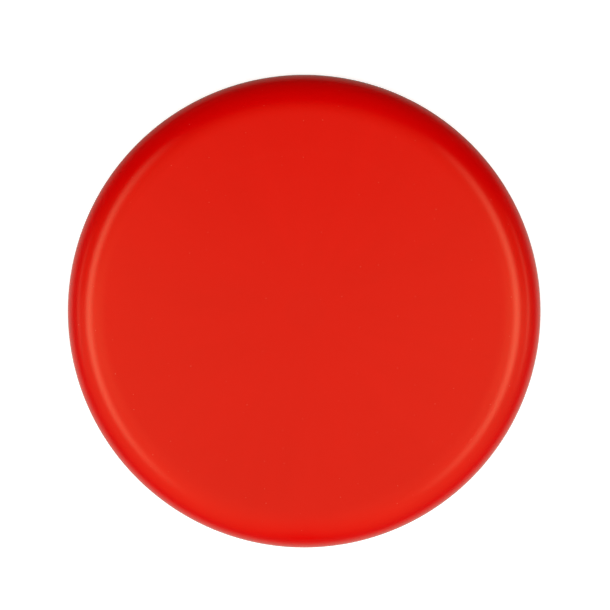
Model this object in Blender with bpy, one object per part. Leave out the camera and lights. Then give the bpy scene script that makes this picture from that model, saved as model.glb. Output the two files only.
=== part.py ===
"""Flying disc: one injection-moulded plastic shell, standing on its rim.

Metres, +Z up. The origin is the centre of the circle that the rim stands on, so +Z is the axis that the disc
spins about. The shell is a flat flight plate, a round shoulder, a wall that tucks in below the widest point,
and a thickened lip.
"""

import math

import bmesh
import bpy
from mathutils import Matrix, Vector

# Driving dimensions of the outside.
OUTER_RADIUS = 0.115
HEIGHT = 0.024
SHOULDER_WIDTH = 0.0209  # how far in from the widest point the flat plate ends
SHOULDER_EASE = 2.35  # at 2 the shoulder is a quarter of an ellipse; above 2 it leaves the plate more gently
WIDEST_HEIGHT = 0.007  # height of the widest point above the rim's resting face
LIP_TUCK = 0.0028  # how far the wall comes in between the widest point and the resting face
RESTING_WIDTH = 0.001  # flat ring that the disc stands on

# Wall thicknesses.
OUTER_PLATE_THICKNESS = 0.0016
INNER_PLATE_THICKNESS = 0.0014
RIM_WALL = 0.0021

# Underside of the flight plate.
STEP_RADIUS = 0.0768  # the plate is thinner inside this radius
STEP_CHAMFER = 0.0005
GATE_PAD_RADIUS = 0.0098
GATE_PAD_THICKNESS = 0.0018
GATE_PAD_CHAMFER = 0.0008
GATE_STUB_RADIUS = 0.0018
GATE_STUB_HEIGHT = 0.0011
GATE_STUB_TAPER = 0.0003

# Lip: a bead that turns in below the finger hollow.
LIP_ROUND = (0.0008, 0.0014)  # width and height of the rounding inside the resting face
BEAD_STRAIGHT = 0.0010  # height of the bead's straight inner face

# Marks that the mould's ejector pins leave on the underside: circle radius, pin radius, number of pins.
EJECTOR_RINGS = ((0.0880, 0.0040, 8), (0.0480, 0.0030, 4))
EJECTOR_DEPTH = 0.00015

# Facets.
TURN_STEPS = 96
SHOULDER_STEPS = 10
WALL_STEPS = 5
BEAD_STEPS = 5
ROUND_STEPS = 3
EJECTOR_STEPS = 16
SHARP_ANGLE = math.radians(30)  # edges sharper than this aren't shaded smooth
SAME_POINT = 1e-6  # points closer than this are one point

RED = (0.70, 0.004, 0.003, 1.0)
ROUGHNESS = 0.2


def clear_scene():
    """Removes the startup objects."""
    for old in list(bpy.data.objects):
        bpy.data.objects.remove(old)


def ellipse(centre, radii, start, end, steps):
    """Points (r, z) along part of an ellipse, both ends included, by angle in degrees from +r towards +z."""
    angles = [math.radians(start + (end - start) * i / steps) for i in range(steps + 1)]
    return [(centre[0] + radii[0] * math.cos(a), centre[1] + radii[1] * math.sin(a)) for a in angles]


def shoulder(radii):
    """Points (r, z) from the flat plate's edge out and down to the widest point, outside or inside."""
    plate_edge = OUTER_RADIUS - SHOULDER_WIDTH
    points = []
    for i in range(SHOULDER_STEPS + 1):
        angle = math.pi / 2 * i / SHOULDER_STEPS
        out = math.sin(angle) ** (2 / SHOULDER_EASE)
        points.append((plate_edge + radii[0] * out, WIDEST_HEIGHT + radii[1] * math.cos(angle)))
    return points


def half_wave(start, end, steps):
    """Points (r, z) from start to end that leave and arrive straight along z."""
    points = []
    for i in range(steps + 1):
        share = i / steps
        across = (1 - math.cos(math.pi * share)) / 2
        points.append((start[0] + (end[0] - start[0]) * across, start[1] + (end[1] - start[1]) * share))
    return points


def without_repeats(points):
    """The points with each one that repeats its neighbour left out."""
    kept = [points[0]]
    for point in points[1:]:
        if math.dist(point, kept[-1]) > SAME_POINT:
            kept.append(point)
    return kept


def outside_profile():
    """The outside, from the top of the spin axis out and down to the resting face."""
    shoulder_radii = (SHOULDER_WIDTH, HEIGHT - WIDEST_HEIGHT)
    tuck_radii = (LIP_TUCK, WIDEST_HEIGHT)
    tuck_centre = (OUTER_RADIUS - LIP_TUCK, WIDEST_HEIGHT)
    return [
        (0.0, HEIGHT),
        (STEP_RADIUS, HEIGHT),
        *shoulder(shoulder_radii),
        *ellipse(tuck_centre, tuck_radii, 0, -90, WALL_STEPS),
    ]


def inside_profile():
    """The inside, from the resting face up and in to the spin axis."""
    resting_edge = OUTER_RADIUS - LIP_TUCK - RESTING_WIDTH
    bead_radius = resting_edge - LIP_ROUND[0]
    bead_top = LIP_ROUND[1] + BEAD_STRAIGHT
    hollow_radius = OUTER_RADIUS - RIM_WALL
    outer_underside = HEIGHT - OUTER_PLATE_THICKNESS
    inner_underside = HEIGHT - INNER_PLATE_THICKNESS
    pad_underside = HEIGHT - GATE_PAD_THICKNESS
    stub_end = pad_underside - GATE_STUB_HEIGHT
    hollow_radii = (SHOULDER_WIDTH - RIM_WALL, outer_underside - WIDEST_HEIGHT)
    return [
        *ellipse((resting_edge, LIP_ROUND[1]), LIP_ROUND, -90, -180, ROUND_STEPS),
        *half_wave((bead_radius, bead_top), (hollow_radius, WIDEST_HEIGHT), BEAD_STEPS),
        *reversed(shoulder(hollow_radii)),
        (STEP_RADIUS + STEP_CHAMFER, outer_underside),
        (STEP_RADIUS, inner_underside),
        (GATE_PAD_RADIUS, inner_underside),
        (GATE_PAD_RADIUS - GATE_PAD_CHAMFER, pad_underside),
        (GATE_STUB_RADIUS, pad_underside),
        (GATE_STUB_RADIUS - GATE_STUB_TAPER, stub_end),
        (0.0, stub_end),
    ]


def turned_mesh(name, profile, steps):
    """A closed mesh turned about Z from a profile that starts and ends on the axis."""
    shape = bmesh.new()
    outline = [shape.verts.new((r, 0.0, z)) for r, z in profile]
    edges = [shape.edges.new(pair) for pair in zip(outline, outline[1:])]
    bmesh.ops.spin(
        shape,
        geom=outline + edges,
        cent=(0, 0, 0),
        axis=(0, 0, 1),
        angle=2 * math.pi,
        steps=steps,
        use_merge=True,
    )
    bmesh.ops.remove_doubles(shape, verts=shape.verts, dist=SAME_POINT)
    bmesh.ops.recalc_face_normals(shape, faces=shape.faces)
    mesh = bpy.data.meshes.new(name)
    shape.to_mesh(mesh)
    shape.free()
    return mesh


def ejector_cutter():
    """Short cylinders that stand just below the plate and reach EJECTOR_DEPTH into its underside."""
    clearance = 0.002
    shape = bmesh.new()
    for ring_radius, pin_radius, count in EJECTOR_RINGS:
        thickness = OUTER_PLATE_THICKNESS if ring_radius > STEP_RADIUS else INNER_PLATE_THICKNESS
        top = HEIGHT - thickness + EJECTOR_DEPTH
        depth = EJECTOR_DEPTH + clearance
        for i in range(count):
            angle = 2 * math.pi * (i + 0.5) / count
            middle = Vector((ring_radius * math.cos(angle), ring_radius * math.sin(angle), top - depth / 2))
            bmesh.ops.create_cone(
                shape,
                cap_ends=True,
                segments=EJECTOR_STEPS,
                radius1=pin_radius,
                radius2=pin_radius,
                depth=depth,
                matrix=Matrix.Translation(middle),
            )
    mesh = bpy.data.meshes.new("ejector_cutter")
    shape.to_mesh(mesh)
    shape.free()
    return add_object("ejector_cutter", mesh)


def add_object(name, mesh):
    """Links a new object for the mesh."""
    made = bpy.data.objects.new(name, mesh)
    bpy.context.scene.collection.objects.link(made)
    return made


def plastic():
    """Glossy red polypropylene."""
    material = bpy.data.materials.new("red_polypropylene")
    material.use_nodes = True
    shader = material.node_tree.nodes["Principled BSDF"]
    shader.inputs["Base Color"].default_value = RED
    shader.inputs["Roughness"].default_value = ROUGHNESS
    shader.inputs["Metallic"].default_value = 0.0
    return material


def build_disc():
    """The whole moulding, with the ejector marks cut into its underside."""
    profile = without_repeats(outside_profile() + inside_profile())
    disc = add_object("disc", turned_mesh("disc", profile, TURN_STEPS))
    disc.data.materials.append(plastic())
    cutter = ejector_cutter()
    cutter.hide_render = True
    cutter.display_type = "WIRE"
    marks = disc.modifiers.new("ejector_marks", "BOOLEAN")
    marks.operation = "DIFFERENCE"
    marks.solver = "EXACT"
    marks.object = cutter
    disc.data.shade_smooth()
    disc.data.set_sharp_from_angle(angle=SHARP_ANGLE)


clear_scene()
build_disc()
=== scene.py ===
"""Looks for a one-piece red plastic flying disc, with a pale floor and soft light.

Metres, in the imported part's frame: +Z is the axis that the disc spins about, and its rim stands on z = 0. The
disc is one shell, polished outside and satin inside, turned in finer steps than the part.
"""

import math

import bmesh
import bpy
from mathutils import Matrix, Vector


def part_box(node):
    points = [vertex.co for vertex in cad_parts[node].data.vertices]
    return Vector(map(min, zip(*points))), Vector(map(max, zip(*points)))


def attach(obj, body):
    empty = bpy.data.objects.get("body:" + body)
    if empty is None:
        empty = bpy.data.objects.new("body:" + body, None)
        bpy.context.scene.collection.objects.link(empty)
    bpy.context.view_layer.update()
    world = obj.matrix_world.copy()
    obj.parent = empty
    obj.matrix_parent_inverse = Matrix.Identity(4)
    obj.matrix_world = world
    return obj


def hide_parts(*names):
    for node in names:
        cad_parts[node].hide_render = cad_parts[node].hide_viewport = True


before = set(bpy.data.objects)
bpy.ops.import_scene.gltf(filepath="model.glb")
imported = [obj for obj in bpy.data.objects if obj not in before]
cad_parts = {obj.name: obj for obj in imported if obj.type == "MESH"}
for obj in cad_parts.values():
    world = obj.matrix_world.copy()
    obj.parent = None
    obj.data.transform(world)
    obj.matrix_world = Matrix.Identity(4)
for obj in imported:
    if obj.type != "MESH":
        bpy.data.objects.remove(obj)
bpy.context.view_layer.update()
far_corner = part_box("disc")[1]

# The shell's outside. Radius and height come from the part.
OUTER_RADIUS = far_corner.x
HEIGHT = far_corner.z
SHOULDER_WIDTH = 0.0209  # how far in from the widest point the flat plate ends
SHOULDER_EASE = 2.35  # at 2 the shoulder is a quarter of an ellipse; above 2 it leaves the plate more gently
WIDEST_HEIGHT = 0.007  # height of the widest point above the rim's resting face
LIP_TUCK = 0.0028  # how far the wall comes in between the widest point and the resting face
RESTING_WIDTH = 0.001  # flat ring that the disc stands on
PLATE_EDGE = OUTER_RADIUS - SHOULDER_WIDTH

# The shell's wall and underside.
OUTER_PLATE_THICKNESS = 0.0016
INNER_PLATE_THICKNESS = 0.0014
RIM_WALL = 0.0021
STEP_RADIUS = 0.0768  # the plate is thinner inside this radius
STEP_WIDTH = 0.0008
GATE_PAD_RADIUS = 0.0098
GATE_PAD_THICKNESS = 0.0018
GATE_PAD_EDGE = 0.0008
GATE_STUB_RADIUS = 0.0018
GATE_STUB_HEIGHT = 0.0011
GATE_STUB_ROUND = 0.0003  # rounding of the stub's end
GATE_STUB_FOOT = ((0.0006, 0.0), (0.0002, 0.0001))  # how far out and down the stub's foot goes
LIP_ROUND = (0.0008, 0.0014)  # width and height of the rounding inside the resting face
BEAD_STRAIGHT = 0.0010  # height of the bead's straight inner face
EJECTOR_RINGS = ((0.0880, 0.0040, 8), (0.0480, 0.0030, 4))  # circle radius, pin radius, number of pins
EJECTOR_DEPTH = 0.00015

# Marks of moulding that are too fine for the part: the plate sinks a little over changes of thickness.
STEP_SINK = 0.000015
STEP_SINK_RADIUS = STEP_RADIUS + 0.0012  # where the sink starts, going in
STEP_SINK_WIDTH = 0.0030
GATE_SINK = 0.000020
PARTING_LINE = (0.00005, 0.00018)  # how far the line stands out, and half its height
PARTING_FLAT = 0.4  # share of the line's height that is flat
PARTING_GAP = 1.5  # how near the line other points come, as a multiple of half its height

# Plastic.
RED = (0.70, 0.0006, 0.0006, 1.0)
SCUFFED_RED = (0.74, 0.06, 0.05, 1.0)
WHITENED_RED = (0.85, 0.22, 0.18, 1.0)
DUST = (0.75, 0.30, 0.24, 1.0)
SPECULAR_TINT = (1.0, 0.62, 0.40, 1.0)
REFRACTION = 1.49
POLISHED = 0.155  # roughness, before its fine variation
SATIN = 0.32  # roughness of the inside
WAVE_DEPTH = 0.00001  # height of the outside's widest waves
TURNING_PITCH = 0.0008  # distance between the inside's turning marks
TURNING_DEPTH = 0.0000015

# Facets.
TURN_STEPS = 384
SHOULDER_STEPS = 48
TUCK_STEPS = 20
BEAD_STEPS = 14
ROUND_STEPS = 8
EASE_STEPS = 8
STUB_STEPS = 4
UNDERSIDE_RINGS = 8  # circles of the underside between the step and the gate pad
PLATE_RING = 0.004  # widest gap between two circles of the flat plate
EJECTOR_STEPS = 48
SAME_POINT = 1e-6  # points closer than this are one point
NORMAL_SLACK = 0.01  # how far off a face's unit normal may be
SHARP_ANGLE = math.radians(35)  # edges sharper than this aren't shaded smooth

# Places of the two plastics among the shell's materials.
OUTSIDE, INSIDE = 0, 1

# The picture: how much of its width the disc fills, and where the picture's centre falls on the disc.
DISC_SHARE = 0.7743
AIM = (0.0004, 0.0030)
LENS = 100.0
SENSOR = 36.0

# The studio.
FLOOR_SIZE = 12.0
SOFTBOX_DISTANCE = 1.2
SOFTBOX_STEPS = (48, 16)  # along it and across it
SOFTBOX_WHITE = (1.0, 0.80, 0.66, 1.0)
ROOM_WHITE = (1.0, 0.80, 0.44, 1.0)
FLOOR_GLOW = (1.0, 1.0, 0.85, 1.0)


# ---------------------------------------------------------------- profile


def smooth(share):
    """Goes from 0 to 1 and is level at both ends."""
    share = min(1.0, max(0.0, share))
    return share * share * (3 - 2 * share)


def between(start, end, steps):
    """Evenly spaced numbers after start, up to and including end."""
    return [start + (end - start) * (i + 1) / steps for i in range(steps)]


def plate_top(radius):
    """Height of the plate's top face, with its faint sinks over the gate and over the thinner middle."""
    over_middle = smooth((STEP_SINK_RADIUS - radius) / STEP_SINK_WIDTH)
    over_gate = smooth(1 - radius / GATE_PAD_RADIUS)
    return HEIGHT - STEP_SINK * over_middle - GATE_SINK * over_gate


def shoulder(radii):
    """Points (r, z) from just past the plate's edge out and down to the widest point."""
    points = []
    for angle in between(0, math.pi / 2, SHOULDER_STEPS):
        out = math.sin(angle) ** (2 / SHOULDER_EASE)
        points.append((PLATE_EDGE + radii[0] * out, WIDEST_HEIGHT + radii[1] * math.cos(angle)))
    return points


def ellipse(centre, radii, start, end, steps):
    """Points (r, z) along part of an ellipse, both ends included, by angle in degrees from +r towards +z."""
    angles = [math.radians(start + (end - start) * i / steps) for i in range(steps + 1)]
    return [(centre[0] + radii[0] * math.cos(a), centre[1] + radii[1] * math.sin(a)) for a in angles]


def half_wave(start, end, steps):
    """Points (r, z) after start, up to end, that leave and arrive straight along z."""
    points = []
    for share in between(0, 1, steps):
        across = (1 - math.cos(math.pi * share)) / 2
        points.append((start[0] + (end[0] - start[0]) * across, start[1] + (end[1] - start[1]) * share))
    return points


def step(start, end):
    """Points (r, z) after start, up to end, that leave and arrive level."""
    points = []
    for share in between(0, 1, EASE_STEPS):
        radius = start[0] + (end[0] - start[0]) * share
        points.append((radius, start[1] + (end[1] - start[1]) * smooth(share)))
    return points


def plate_radii():
    """Radii of the plate's circles, closer together where the plate sinks over the step and over the gate."""
    sink_end = STEP_SINK_RADIUS - STEP_SINK_WIDTH
    over_step = [sink_end] + between(sink_end, STEP_SINK_RADIUS, EASE_STEPS)
    over_gate = [PLATE_RING * share for share in (0.25, 0.5, 0.75)]
    even = [PLATE_RING * i for i in range(1, int(PLATE_EDGE / PLATE_RING) + 1)]
    even = [r for r in even if min(abs(r - near) for near in over_step) > PLATE_RING / 4]
    return sorted(over_gate + even + over_step)


def outside_profile():
    """The outside, from the top of the axis out and down to the resting face."""
    tuck_centre = (OUTER_RADIUS - LIP_TUCK, WIDEST_HEIGHT)
    points = [(r, plate_top(r)) for r in [0.0, *plate_radii()]]
    points += [(PLATE_EDGE, HEIGHT)]
    points += shoulder((SHOULDER_WIDTH, HEIGHT - WIDEST_HEIGHT))
    points += ellipse(tuck_centre, (LIP_TUCK, WIDEST_HEIGHT), 0, -90, TUCK_STEPS)[1:]
    return with_parting_line(points)


def with_parting_line(points):
    """The points with a low rounded ridge at the widest height, where the two halves of the mould met."""
    proud, half_height = PARTING_LINE
    flat, gap = PARTING_FLAT * half_height, PARTING_GAP * half_height
    ridge = [
        (OUTER_RADIUS, WIDEST_HEIGHT + half_height),
        (OUTER_RADIUS + proud, WIDEST_HEIGHT + flat),
        (OUTER_RADIUS + proud, WIDEST_HEIGHT - flat),
        (OUTER_RADIUS, WIDEST_HEIGHT - half_height),
    ]
    above = [p for p in points if p[1] > WIDEST_HEIGHT + gap]
    below = [p for p in points if p[1] < WIDEST_HEIGHT - gap]
    return above + ridge + below


def gate_stub(pad_underside):
    """Points (r, z) of the broken-off stub, from its foot on the pad's underside to the axis."""
    end = pad_underside - GATE_STUB_HEIGHT
    round_centre = (GATE_STUB_RADIUS - GATE_STUB_ROUND, end + GATE_STUB_ROUND)
    points = [(GATE_STUB_RADIUS + out, pad_underside - down) for out, down in GATE_STUB_FOOT]
    points += ellipse(round_centre, (GATE_STUB_ROUND, GATE_STUB_ROUND), 0, -90, STUB_STEPS)
    return points + [(0.0, end)]


def inside_profile():
    """The inside, from the resting face up and in to the axis."""
    resting_edge = OUTER_RADIUS - LIP_TUCK - RESTING_WIDTH
    bead_top = (resting_edge - LIP_ROUND[0], LIP_ROUND[1] + BEAD_STRAIGHT)
    outer_underside = HEIGHT - OUTER_PLATE_THICKNESS
    inner_underside = HEIGHT - INNER_PLATE_THICKNESS
    pad_underside = HEIGHT - GATE_PAD_THICKNESS
    hollow_radii = (SHOULDER_WIDTH - RIM_WALL, outer_underside - WIDEST_HEIGHT)
    points = ellipse((resting_edge, LIP_ROUND[1]), LIP_ROUND, -90, -180, ROUND_STEPS)
    points += [bead_top]
    points += half_wave(bead_top, (OUTER_RADIUS - RIM_WALL, WIDEST_HEIGHT), BEAD_STEPS)
    points += list(reversed(shoulder(hollow_radii)))[1:]
    points += [(PLATE_EDGE, outer_underside), (STEP_RADIUS + STEP_WIDTH, outer_underside)]
    points += step(points[-1], (STEP_RADIUS, inner_underside))
    points += [(r, inner_underside) for r in between(STEP_RADIUS, GATE_PAD_RADIUS, UNDERSIDE_RINGS)]
    points += step(points[-1], (GATE_PAD_RADIUS - GATE_PAD_EDGE, pad_underside))
    return points + gate_stub(pad_underside)


# ---------------------------------------------------------------- shell


def faces_inside(face):
    """True for a face of the hollow: it looks in towards the axis, or down from the plate's underside."""
    middle = face.calc_center_median()
    looks_in = middle.xy.normalized().dot(face.normal.xy) < -NORMAL_SLACK
    looks_down = face.normal.z < NORMAL_SLACK - 1
    return looks_in or (looks_down and middle.z > WIDEST_HEIGHT)


def add_object(name, data):
    """Links a new object that holds a mesh or a camera."""
    made = bpy.data.objects.new(name, data)
    bpy.context.scene.collection.objects.link(made)
    return made


def turned_shell(name):
    """The closed shell, turned about Z, with its outside and its hollow marked for their materials."""
    profile = outside_profile() + inside_profile()
    shape = bmesh.new()
    outline = [shape.verts.new((r, 0.0, z)) for r, z in profile]
    edges = [shape.edges.new(pair) for pair in zip(outline, outline[1:])]
    bmesh.ops.spin(
        shape,
        geom=outline + edges,
        cent=(0, 0, 0),
        axis=(0, 0, 1),
        angle=2 * math.pi,
        steps=TURN_STEPS,
        use_merge=True,
    )
    bmesh.ops.remove_doubles(shape, verts=shape.verts, dist=SAME_POINT)
    bmesh.ops.recalc_face_normals(shape, faces=shape.faces)
    for face in shape.faces:
        face.material_index = INSIDE if faces_inside(face) else OUTSIDE
    mesh = bpy.data.meshes.new(name)
    shape.to_mesh(mesh)
    shape.free()
    return add_object(name, mesh)


def ejector_cutter():
    """Short cylinders that stand just below the plate and reach EJECTOR_DEPTH into its underside."""
    clearance = 0.002
    shape = bmesh.new()
    for ring_radius, pin_radius, count in EJECTOR_RINGS:
        thickness = OUTER_PLATE_THICKNESS if ring_radius > STEP_RADIUS else INNER_PLATE_THICKNESS
        top = HEIGHT - thickness + EJECTOR_DEPTH
        depth = EJECTOR_DEPTH + clearance
        for i in range(count):
            angle = 2 * math.pi * (i + 0.5) / count
            middle = Vector((ring_radius * math.cos(angle), ring_radius * math.sin(angle), top - depth / 2))
            bmesh.ops.create_cone(
                shape,
                cap_ends=True,
                segments=EJECTOR_STEPS,
                radius1=pin_radius,
                radius2=pin_radius,
                depth=depth,
                matrix=Matrix.Translation(middle),
            )
    for face in shape.faces:
        face.material_index = INSIDE
    mesh = bpy.data.meshes.new("ejector_cutter")
    shape.to_mesh(mesh)
    shape.free()
    return add_object("ejector_cutter", mesh)


def cut_ejector_marks(shell):
    """Cuts shallow round marks into the plate's underside."""
    cutter = ejector_cutter()
    marks = shell.modifiers.new("ejector_marks", "BOOLEAN")
    marks.operation = "DIFFERENCE"
    marks.solver = "EXACT"
    marks.object = cutter
    graph = bpy.context.evaluated_depsgraph_get()
    cut = bpy.data.meshes.new_from_object(shell.evaluated_get(graph))
    shell.modifiers.clear()
    shell.data = cut
    bpy.data.objects.remove(cutter)


# ---------------------------------------------------------------- materials


def add(tree, kind, inputs=None, **settings):
    """Adds a node with these settings. Each input is given its value, or is linked if that is a socket."""
    node = tree.nodes.new(kind)
    for name, value in settings.items():
        setattr(node, name, value)
    for name, value in (inputs or {}).items():
        if isinstance(value, bpy.types.NodeSocket):
            tree.links.new(value, node.inputs[name])
        else:
            node.inputs[name].default_value = value
    return node


def noise(tree, vector, size, detail=2.0):
    """Cloudy values round 0.5, with features about as wide as size, in the vector's units."""
    inputs = {"Vector": vector, "Scale": 1 / size, "Detail": detail}
    return add(tree, "ShaderNodeTexNoise", inputs).outputs["Fac"]


def math_node(tree, operation, a, b=0.0):
    """Blender's Math node. An operation on one number leaves b out."""
    return add(tree, "ShaderNodeMath", {0: a, 1: b}, operation=operation).outputs[0]


def vector_node(tree, operation, a, b):
    """Blender's Vector Math node with two inputs and a vector output."""
    return add(tree, "ShaderNodeVectorMath", {0: a, 1: b}, operation=operation).outputs["Vector"]


def length_of(tree, vector):
    """The length of a vector."""
    return add(tree, "ShaderNodeVectorMath", {0: vector}, operation="LENGTH").outputs["Value"]


def ramp(tree, value, limits, results, shape="SMOOTHSTEP"):
    """Goes from the first result to the second as value goes from the first limit to the second."""
    inputs = {
        "Value": value,
        "From Min": limits[0],
        "From Max": limits[1],
        "To Min": results[0],
        "To Max": results[1],
    }
    return add(tree, "ShaderNodeMapRange", inputs, interpolation_type=shape).outputs["Result"]


def total(tree, *values):
    """The sum of sockets and numbers."""
    result = values[0]
    for value in values[1:]:
        result = math_node(tree, "ADD", result, value)
    return result


def product(tree, *values):
    """The product of sockets and numbers."""
    result = values[0]
    for value in values[1:]:
        result = math_node(tree, "MULTIPLY", result, value)
    return result


def mixture(tree, start, *patterns):
    """start, plus each pattern times its share."""
    return total(tree, start, *[product(tree, pattern, share) for pattern, share in patterns])


def swings(tree, clouds):
    """Cloudy values round 0.5, stretched to run from -1 to 1."""
    return ramp(tree, clouds, (0.3, 0.7), (-1, 1), "LINEAR")


class Place:
    """Where a point of the surface is: position, height, distance from the axis and the way out from it."""

    def __init__(self, tree):
        self.position = add(tree, "ShaderNodeTexCoord").outputs["Object"]
        self.height = add(tree, "ShaderNodeSeparateXYZ", {0: self.position}).outputs["Z"]
        flat = vector_node(tree, "MULTIPLY", self.position, (1, 1, 0))
        self.radius = length_of(tree, flat)
        self.outward = add(tree, "ShaderNodeVectorMath", {0: flat}, operation="NORMALIZE").outputs["Vector"]


def flow_lines(tree, place):
    """Streaks where the plastic ran out from the gate, from -1 to 1, with none over the gate itself."""
    drift = add(tree, "ShaderNodeCombineXYZ", {"Z": product(tree, place.radius, 3.0)}).outputs[0]
    streaks = noise(tree, vector_node(tree, "ADD", place.outward, drift), size=0.16, detail=3.0)
    past_gate = ramp(tree, place.radius, (0.006, 0.03), (0, 1))
    return product(tree, swings(tree, streaks), past_gate)


def hairlines(tree, place, degrees, length, width):
    """A few faint straight scratches in one direction, 1 on a scratch and 0 off it."""
    mapping = {
        "Vector": place.position,
        "Rotation": (0, 0, math.radians(degrees)),
        "Scale": (width / length, 1, width / length),
    }
    stretched = add(tree, "ShaderNodeMapping", mapping).outputs[0]
    return ramp(tree, noise(tree, stretched, size=3 * width, detail=1.0), (0.70, 0.76), (0, 1))


def specks(tree, place, spacing, radius):
    """Scattered specks on the top, 1 in a speck and 0 outside it."""
    inputs = {"Vector": place.position, "Scale": 1 / spacing}
    cells = add(tree, "ShaderNodeTexVoronoi", inputs, voronoi_dimensions="2D")
    chance = add(tree, "ShaderNodeSeparateColor", {0: cells.outputs["Color"]}).outputs[0]
    size = ramp(tree, chance, (0.6, 1.0), (0, radius / spacing), "LINEAR")
    in_speck = math_node(tree, "LESS_THAN", cells.outputs["Distance"], size)
    on_top = ramp(tree, place.radius, (0.108, 0.109), (1, 0))
    return product(tree, in_speck, on_top)


def lip_scuffs(tree, place, top):
    """Rubbed patches on the lip, up to the height top, 1 in a patch and 0 outside it."""
    low = ramp(tree, place.height, (0.0004, top), (1, 0))
    patches = ramp(tree, noise(tree, place.position, size=0.004, detail=3.0), (0.40, 0.70), (0, 1))
    return product(tree, low, patches)


def moulded(name):
    """A red polypropylene material with no pattern yet, its shader, and where its surface is."""
    material = bpy.data.materials.new(name)
    material.use_nodes = True
    tree = material.node_tree
    shader = tree.nodes["Principled BSDF"]
    shader.inputs["IOR"].default_value = REFRACTION
    shader.inputs["Specular Tint"].default_value = SPECULAR_TINT
    return material, tree, shader, Place(tree)


def finish_surface(tree, shader, colour, roughness, relief, depth):
    """Links patterns to the shader: colour, roughness, and relief whose full height is depth metres."""
    tree.links.new(colour, shader.inputs["Base Color"])
    tree.links.new(roughness, shader.inputs["Roughness"])
    bump = add(tree, "ShaderNodeBump", {"Strength": 1.0, "Distance": depth, "Height": relief})
    tree.links.new(bump.outputs[0], shader.inputs["Normal"])


def blend(tree, share, colour, other):
    """Mixes two colours, from colour at a share of 0 to other at 1."""
    factor, first, second, result = 0, 6, 7, 2  # the places of these sockets on a Mix node for colours
    node = add(tree, "ShaderNodeMix", {factor: share, first: colour, second: other}, data_type="RGBA")
    return node.outputs[result]


def shaded_red(tree, brightness):
    """The plastic's red times a brightness."""
    grey = add(tree, "ShaderNodeCombineXYZ", {"X": brightness, "Y": brightness, "Z": brightness}).outputs[0]
    return vector_node(tree, "MULTIPLY", RED[:3], grey)


def outside_plastic():
    """Polished outside: flow lines, mottling, orange peel, hairline scratches, dust, and lip scuffs."""
    material, tree, shader, place = moulded("red_plastic_polished")
    flow = flow_lines(tree, place)
    mottle = swings(tree, noise(tree, place.position, size=0.05))
    blush = ramp(tree, place.radius, (0.007, 0.012), (1, 0))
    scuffs = lip_scuffs(tree, place, top=0.0016)
    dust = specks(tree, place, spacing=0.009, radius=0.00022)
    scratches = total(
        tree,
        hairlines(tree, place, degrees=24, length=0.05, width=0.00022),
        hairlines(tree, place, degrees=118, length=0.035, width=0.00018),
    )
    fine = noise(tree, place.position, size=0.006, detail=3.0)
    peel = noise(tree, place.position, size=0.0014, detail=1.0)
    waves = noise(tree, place.position, size=0.03, detail=1.0)

    brightness = mixture(tree, 1.0, (flow, 0.010), (mottle, 0.012), (blush, -0.012))
    dusty = blend(tree, product(tree, dust, 0.35), shaded_red(tree, brightness), DUST)
    colour = blend(tree, product(tree, scuffs, 0.15), dusty, SCUFFED_RED)
    roughness = mixture(
        tree, POLISHED, (fine, 0.02), (flow, 0.006), (scratches, 0.05), (scuffs, 0.12), (blush, 0.01)
    )
    relief = mixture(tree, waves, (peel, 0.12), (flow, 0.06), (scratches, -0.08), (scuffs, -0.1))
    finish_surface(tree, shader, colour, roughness, relief, WAVE_DEPTH)
    return material


def turning_marks(tree, place):
    """The mould's turning marks, from -1 to 1, a TURNING_PITCH apart and wandering a little."""
    wander = product(tree, noise(tree, place.position, size=0.04, detail=0.0), TURNING_PITCH / 2)
    along = total(tree, place.radius, wander, place.height)
    return math_node(tree, "SINE", product(tree, along, 2 * math.pi / TURNING_PITCH))


def inside_plastic():
    """Satin inside: turning marks, flow lines, mottling, lip scuffs, and whitening round the broken gate."""
    material, tree, shader, place = moulded("red_plastic_satin")
    flow = flow_lines(tree, place)
    mottle = swings(tree, noise(tree, place.position, size=0.03, detail=3.0))
    rings = turning_marks(tree, place)
    scuffs = lip_scuffs(tree, place, top=0.0020)
    torn = noise(tree, place.position, size=0.0008, detail=3.0)
    at_gate = ramp(tree, place.radius, (0.0012, 0.0034), (1, 0))
    gate = product(tree, at_gate, ramp(tree, torn, (0.35, 0.6), (0.3, 1)))
    grain = noise(tree, place.position, size=0.0006)

    brightness = mixture(tree, 0.96, (flow, 0.02), (mottle, 0.02), (rings, 0.006))
    whitened = blend(tree, product(tree, gate, 0.45), shaded_red(tree, brightness), WHITENED_RED)
    colour = blend(tree, product(tree, scuffs, 0.15), whitened, SCUFFED_RED)
    roughness = mixture(
        tree, SATIN, (mottle, 0.02), (flow, 0.02), (rings, 0.015), (gate, 0.25), (scuffs, 0.15)
    )
    relief = mixture(tree, product(tree, rings, 0.5), (grain, 1.2), (product(tree, torn, gate), 12.0))
    finish_surface(tree, shader, colour, roughness, relief, TURNING_DEPTH)
    return material


# ---------------------------------------------------------------- stage


def pick(tree, test, if_not, if_so):
    """Shows the shader if_so to rays that pass the test, and if_not to the rest."""
    return add(tree, "ShaderNodeMixShader", {0: test, 1: if_not, 2: if_so}).outputs[0]


def diffuse(tree, grey):
    """A plain grey surface."""
    return add(tree, "ShaderNodeBsdfDiffuse", {"Color": (grey, grey, grey, 1)}).outputs[0]


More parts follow.
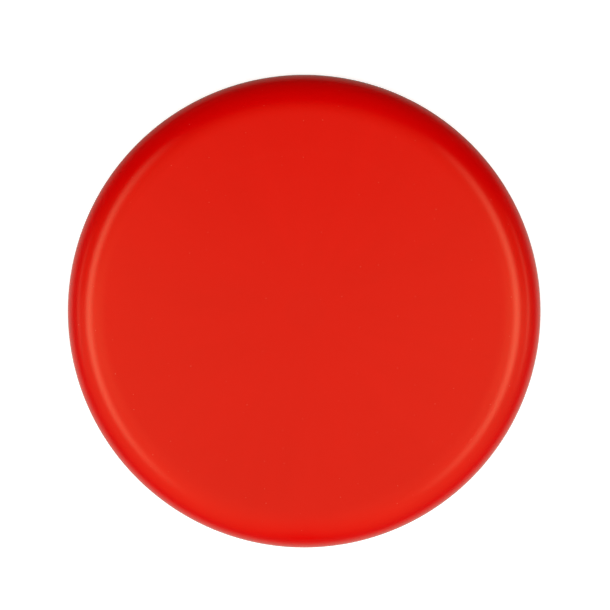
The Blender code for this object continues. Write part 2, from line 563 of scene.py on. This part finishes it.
def mirrored_floor(tree, position, radius):
    """What the disc mirrors of the floor: a dim glow round the disc, fainter far off and behind the disc."""
    y = add(tree, "ShaderNodeSeparateXYZ", {0: position}).outputs["Y"]
    backward = math_node(tree, "DIVIDE", y, radius)
    by_the_disc = ramp(tree, radius, (1.03 * OUTER_RADIUS, 1.6 * OUTER_RADIUS), (0.5, 0.0))
    near = product(tree, by_the_disc, ramp(tree, backward, (0.0, 0.7), (1.0, 0.6)))
    far = ramp(tree, backward, (0.0, 0.7), (0.12, 0.0))
    inputs = {"Color": FLOOR_GLOW, "Strength": total(tree, near, far)}
    return add(tree, "ShaderNodeEmission", inputs).outputs[0]


def floor_material():
    """White to look at, grey for the light that it throws on the disc, and dim where the disc mirrors it."""
    material = bpy.data.materials.new("pale_floor")
    material.use_nodes = True
    tree = material.node_tree
    tree.nodes.clear()
    path = add(tree, "ShaderNodeLightPath")
    position = add(tree, "ShaderNodeNewGeometry").outputs["Position"]
    radius = length_of(tree, position)
    strength = ramp(tree, radius, (0.15, 0.6), (0.62, 1.0))
    glow = add(tree, "ShaderNodeEmission", {"Strength": strength}).outputs[0]
    white = add(tree, "ShaderNodeAddShader", {0: diffuse(tree, 0.8), 1: glow}).outputs[0]
    mirrored = mirrored_floor(tree, position, radius)
    unseen = pick(tree, path.outputs["Is Glossy Ray"], diffuse(tree, 0.62), mirrored)
    seen = pick(tree, path.outputs["Is Camera Ray"], unseen, white)
    add(tree, "ShaderNodeOutputMaterial", {"Surface": seen})
    return material


def floor():
    """A large pale floor."""
    bpy.ops.mesh.primitive_plane_add(size=FLOOR_SIZE)
    sheet = bpy.context.object
    sheet.name = "floor"
    sheet.data.materials.append(floor_material())


def strip_mesh(name, azimuth, polar, lean, width, reach):
    """A curved strip round the disc, whose points say how brightly they glow. Its angles are softbox's."""
    steps_along, steps_across = SOFTBOX_STEPS
    shape = bmesh.new()
    glow = shape.verts.layers.float.new("glow")
    rows = []
    for i in range(steps_along + 1):
        along = 2 * i / steps_along - 1
        around = math.radians(azimuth + reach * along)
        row = []
        for j in range(steps_across + 1):
            across = 2 * j / steps_across - 1
            down = math.radians(polar + lean * reach * along + width / 2 * across)
            out = math.sin(down)
            towards = Vector((out * math.cos(around), out * math.sin(around), math.cos(down)))
            vertex = shape.verts.new(SOFTBOX_DISTANCE * towards)
            vertex[glow] = math.cos(math.pi / 2 * along) * smooth(1 - abs(across))
            row.append(vertex)
        rows.append(row)
    for row, next_row in zip(rows, rows[1:]):
        for j in range(steps_across):
            shape.faces.new((row[j], next_row[j], next_row[j + 1], row[j + 1]))
    mesh = bpy.data.meshes.new(name)
    shape.to_mesh(mesh)
    shape.free()
    return mesh


def strip_light(name, strength):
    """A light as strong as its mesh's glow says, added to what is behind it."""
    material = bpy.data.materials.new(name)
    material.use_nodes = True
    tree = material.node_tree
    tree.nodes.clear()
    glow = add(tree, "ShaderNodeAttribute", attribute_name="glow").outputs["Fac"]
    inputs = {"Color": SOFTBOX_WHITE, "Strength": product(tree, glow, strength)}
    light = add(tree, "ShaderNodeEmission", inputs).outputs[0]
    room_behind = add(tree, "ShaderNodeBsdfTransparent").outputs[0]
    both = add(tree, "ShaderNodeAddShader", {0: light, 1: room_behind}).outputs[0]
    add(tree, "ShaderNodeOutputMaterial", {"Surface": both})
    return material


def softbox(name, azimuth, polar, lean, width, reach, strength):
    """A curved strip light round the disc, brightest in its middle.

    azimuth and polar are where its middle is, from +X towards +Y and from +Z down. lean is how much polar
    grows for each degree of azimuth. width is the strip's width, and reach is how far it goes to each side.
    All but lean and strength are in degrees.
    """
    card = add_object(name, strip_mesh(name, azimuth, polar, lean, width, reach))
    card.data.materials.append(strip_light(name, strength))
    card.visible_camera = False


def mirrored_room(tree, x, y, z):
    """Strength of what the disc mirrors: a ceiling, walls and panels at the sides, and dark behind it."""
    ceiling = ramp(tree, z, (0.0, 1.0), (0.0, 0.79))

    side = math_node(tree, "ABSOLUTE", x)
    inner_walls = ramp(tree, side, (0.0, 0.12), (0.0, 0.22))
    outer_walls = ramp(tree, side, (0.12, 0.4), (0.0, 0.3))
    dimmer_foot = ramp(tree, z, (0.0, 0.4), (0.6, 1.0))
    walls = product(tree, total(tree, inner_walls, outer_walls), dimmer_foot)

    panel_middle = 0.04
    off_middle = math_node(tree, "ABSOLUTE", math_node(tree, "SUBTRACT", y, panel_middle))
    inner_edge = ramp(tree, side, (0.09, 0.26), (0.0, 0.6))
    outer_edge = ramp(tree, side, (0.5, 0.75), (1.0, 0.0))
    ends = ramp(tree, off_middle, (0.06, 0.28), (1.0, 0.0))
    panels = product(tree, inner_edge, outer_edge, ends)

    ceiling_edge = ramp(tree, y, (0.02, 0.106), (1.0, 0.59))
    dark_side = ramp(tree, y, (0.125, 0.605), (1.0, 0.0))
    return product(tree, total(tree, ceiling, walls, panels), ceiling_edge, dark_side)


def soft_light(tree, y, z):
    """Strength of the light that falls on the disc from the room: wide and soft, with none from behind."""
    spread = mixture(tree, 1.83, (y, 1.4), (z, 0.5))
    return product(tree, spread, ramp(tree, y, (-0.08, 0.18), (1.0, 0.0)))


def surroundings():
    """The world: white to look at, with a softer and dimmer room for what the disc mirrors and is lit by."""
    world = bpy.data.worlds.new("studio")
    bpy.context.scene.world = world
    world.use_nodes = True
    tree = world.node_tree
    tree.nodes.clear()
    path = add(tree, "ShaderNodeLightPath")
    direction = add(tree, "ShaderNodeTexCoord").outputs["Generated"]
    x, y, z = add(tree, "ShaderNodeSeparateXYZ", {0: direction}).outputs
    mirrored = mirrored_room(tree, x, y, z)
    reflected = add(tree, "ShaderNodeBackground", {"Color": ROOM_WHITE, "Strength": mirrored}).outputs[0]
    lighting = add(tree, "ShaderNodeBackground", {"Strength": soft_light(tree, y, z)}).outputs[0]
    white = add(tree, "ShaderNodeBackground", {"Color": (1, 1, 1, 1)}).outputs[0]
    unseen = pick(tree, path.outputs["Is Glossy Ray"], lighting, reflected)
    seen = pick(tree, path.outputs["Is Camera Ray"], unseen, white)
    add(tree, "ShaderNodeOutputWorld", {"Surface": seen})


def overhead_camera():
    """A camera above the disc that looks straight down."""
    lens = bpy.data.cameras.new("camera")
    lens.lens = LENS
    lens.sensor_width = SENSOR
    camera = add_object("camera", lens)
    picture_width = 2 * OUTER_RADIUS / DISC_SHARE
    distance = picture_width * LENS / SENSOR
    camera.location = (AIM[0], AIM[1], WIDEST_HEIGHT + distance)
    bpy.context.scene.camera = camera


overhead_camera()
bpy.context.scene.view_settings.view_transform = "Standard"
surroundings()
floor()
softbox("softbox_right", azimuth=-3, polar=39.5, lean=-0.085, width=26, reach=56, strength=3.85)
softbox("softbox_left", azimuth=182, polar=45.6, lean=0.06, width=27, reach=56, strength=3.95)
softbox("edge_light_right", azimuth=2, polar=73, lean=0, width=15, reach=24, strength=1.2)
softbox("edge_light_left", azimuth=178, polar=79, lean=0, width=15, reach=20, strength=0.9)

shell = turned_shell("flying_disc_shell")
shell.data.materials.append(outside_plastic())
shell.data.materials.append(inside_plastic())
cut_ejector_marks(shell)
shell.data.shade_smooth()
shell.data.set_sharp_from_angle(angle=SHARP_ANGLE)
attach(shell, "root")
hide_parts("disc")
